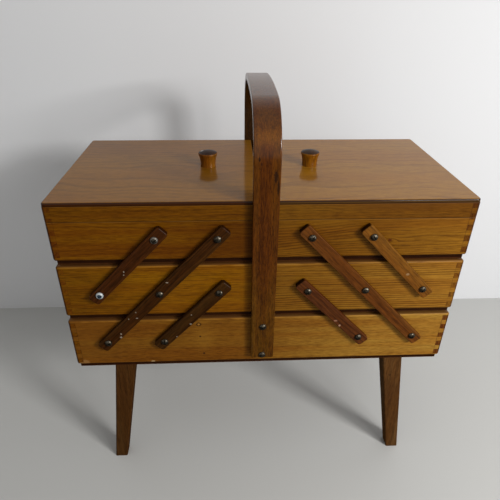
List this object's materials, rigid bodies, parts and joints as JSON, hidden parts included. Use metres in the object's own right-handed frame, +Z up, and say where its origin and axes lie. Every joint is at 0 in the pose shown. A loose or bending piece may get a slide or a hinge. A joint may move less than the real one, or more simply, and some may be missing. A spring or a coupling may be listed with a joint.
{
  "type": "cantilever sewing box",
  "caption": "Wooden sewing box on splayed legs, with a bent-wood handle, lidded top trays with knobs, and trays that swing out sideways on wooden arms.",
  "frame": {"origin": "on the floor, under the middle of the box", "axes": "+Z up, X along the box, +Y from front to back"},
  "size_m": [0.444, 0.229, 0.4789],
  "materials": {
    "board_wood": "varnished honey-brown boards",
    "floor_wood": "dark stained thin board",
    "lid_veneer": "glossy varnished plywood",
    "arm_wood": "dark stained and varnished hardwood",
    "handle_wood": "bent beech, brown varnish",
    "leg_wood": "dark brown varnish",
    "knob_wood": "turned, varnished",
    "screw_steel": "blackened round-head screws",
    "hinge_brass": "dull brass"
  },
  "bodies": {
    "base": {"bottom_front_board": "board_wood", "bottom_back_board": "board_wood", "bottom_left_board": "board_wood", "bottom_right_board": "board_wood", "bottom_floor": "floor_wood", "leg_front_left": "leg_wood", "leg_front_right": "leg_wood", "leg_back_left": "leg_wood", "leg_back_right": "leg_wood", "leg_screws": "screw_steel", "carrying_handle": "handle_wood", "handle_screws": "screw_steel", "base_pivot_screws": "screw_steel"},
    "left_middle_tray": {"left_middle_front_board": "board_wood", "left_middle_back_board": "board_wood", "left_middle_inner_board": "board_wood", "left_middle_outer_board": "board_wood", "left_middle_floor": "floor_wood", "left_middle_pivot_screws": "screw_steel"},
    "left_top_tray": {"left_top_front_board": "board_wood", "left_top_back_board": "board_wood", "left_top_inner_board": "board_wood", "left_top_outer_board": "board_wood", "left_top_floor": "floor_wood", "left_top_pivot_screws": "screw_steel", "left_hinge_tray_leaves": "hinge_brass", "left_hinge_pins": "hinge_brass"},
    "left_lid": {"left_lid_panel": "lid_veneer", "left_lid_side_rails": "board_wood", "left_lid_end_rails": "board_wood", "left_lid_knob": "knob_wood", "left_lid_knob_screw": "screw_steel", "left_hinge_lid_leaves": "hinge_brass"},
    "left_long_arms": {"left_long_arms": "arm_wood"},
    "left_lower_arms": {"left_lower_arms": "arm_wood"},
    "left_upper_arms": {"left_upper_arms": "arm_wood"},
    "right_middle_tray": {"right_middle_front_board": "board_wood", "right_middle_back_board": "board_wood", "right_middle_inner_board": "board_wood", "right_middle_outer_board": "board_wood", "right_middle_floor": "floor_wood", "right_middle_pivot_screws": "screw_steel"},
    "right_top_tray": {"right_top_front_board": "board_wood", "right_top_back_board": "board_wood", "right_top_inner_board": "board_wood", "right_top_outer_board": "board_wood", "right_top_floor": "floor_wood", "right_top_pivot_screws": "screw_steel", "right_hinge_tray_leaves": "hinge_brass", "right_hinge_pins": "hinge_brass"},
    "right_lid": {"right_lid_panel": "lid_veneer", "right_lid_side_rails": "board_wood", "right_lid_end_rails": "board_wood", "right_lid_knob": "knob_wood", "right_lid_knob_screw": "screw_steel", "right_hinge_lid_leaves": "hinge_brass"},
    "right_long_arms": {"right_long_arms": "arm_wood"},
    "right_lower_arms": {"right_lower_arms": "arm_wood"},
    "right_upper_arms": {"right_upper_arms": "arm_wood"}
  },
  "joints": [
    {"name": "left_fold", "type": "hinge", "parent": "base", "child": "left_long_arms", "pos_m": [-0.1765, 0, 0.2112], "axis": [0, -1, 0], "range_deg": [0, 87.71]},
    {"name": "left_middle_tray_level", "type": "hinge", "parent": "left_long_arms", "child": "left_middle_tray", "pos_m": [-0.1125, 0, 0.2778], "axis": [0, -1, 0], "range_deg": [-87.71, 0]},
    {"name": "left_top_tray_level", "type": "hinge", "parent": "left_long_arms", "child": "left_top_tray", "pos_m": [-0.0485, 0, 0.3444], "axis": [0, -1, 0], "range_deg": [-87.71, 0]},
    {"name": "left_lower_arms_swing", "type": "hinge", "parent": "base", "child": "left_lower_arms", "pos_m": [-0.1125, 0, 0.2112], "axis": [0, -1, 0], "range_deg": [0, 87.71]},
    {"name": "left_upper_arms_swing", "type": "hinge", "parent": "left_middle_tray", "child": "left_upper_arms", "pos_m": [-0.1765, 0, 0.2778], "axis": [0, -1, 0], "range_deg": [0, 87.71]},
    {"name": "left_lid_hinge", "type": "hinge", "parent": "left_top_tray", "child": "left_lid", "pos_m": [-0.22, 0, 0.362], "axis": [0, -1, 0], "range_deg": [0, 178]},
    {"name": "right_fold", "type": "hinge", "parent": "base", "child": "right_long_arms", "pos_m": [0.1765, 0, 0.2112], "axis": [0, 1, 0], "range_deg": [0, 87.71]},
    {"name": "right_middle_tray_level", "type": "hinge", "parent": "right_long_arms", "child": "right_middle_tray", "pos_m": [0.1125, 0, 0.2778], "axis": [0, 1, 0], "range_deg": [-87.71, 0]},
    {"name": "right_top_tray_level", "type": "hinge", "parent": "right_long_arms", "child": "right_top_tray", "pos_m": [0.0485, 0, 0.3444], "axis": [0, 1, 0], "range_deg": [-87.71, 0]},
    {"name": "right_lower_arms_swing", "type": "hinge", "parent": "base", "child": "right_lower_arms", "pos_m": [0.1125, 0, 0.2112], "axis": [0, 1, 0], "range_deg": [0, 87.71]},
    {"name": "right_upper_arms_swing", "type": "hinge", "parent": "right_middle_tray", "child": "right_upper_arms", "pos_m": [0.1765, 0, 0.2778], "axis": [0, 1, 0], "range_deg": [0, 87.71]},
    {"name": "right_lid_hinge", "type": "hinge", "parent": "right_top_tray", "child": "right_lid", "pos_m": [0.22, 0, 0.362], "axis": [0, 1, 0], "range_deg": [0, 178]}
  ],
  "couplings": [
    {"joint": "left_middle_tray_level", "follows": "left_fold", "ratio": -1},
    {"joint": "left_top_tray_level", "follows": "left_fold", "ratio": -1},
    {"joint": "left_lower_arms_swing", "follows": "left_fold", "ratio": 1},
    {"joint": "left_upper_arms_swing", "follows": "left_fold", "ratio": 1},
    {"joint": "right_middle_tray_level", "follows": "right_fold", "ratio": -1},
    {"joint": "right_top_tray_level", "follows": "right_fold", "ratio": -1},
    {"joint": "right_lower_arms_swing", "follows": "right_fold", "ratio": 1},
    {"joint": "right_upper_arms_swing", "follows": "right_fold", "ratio": 1}
  ]
}
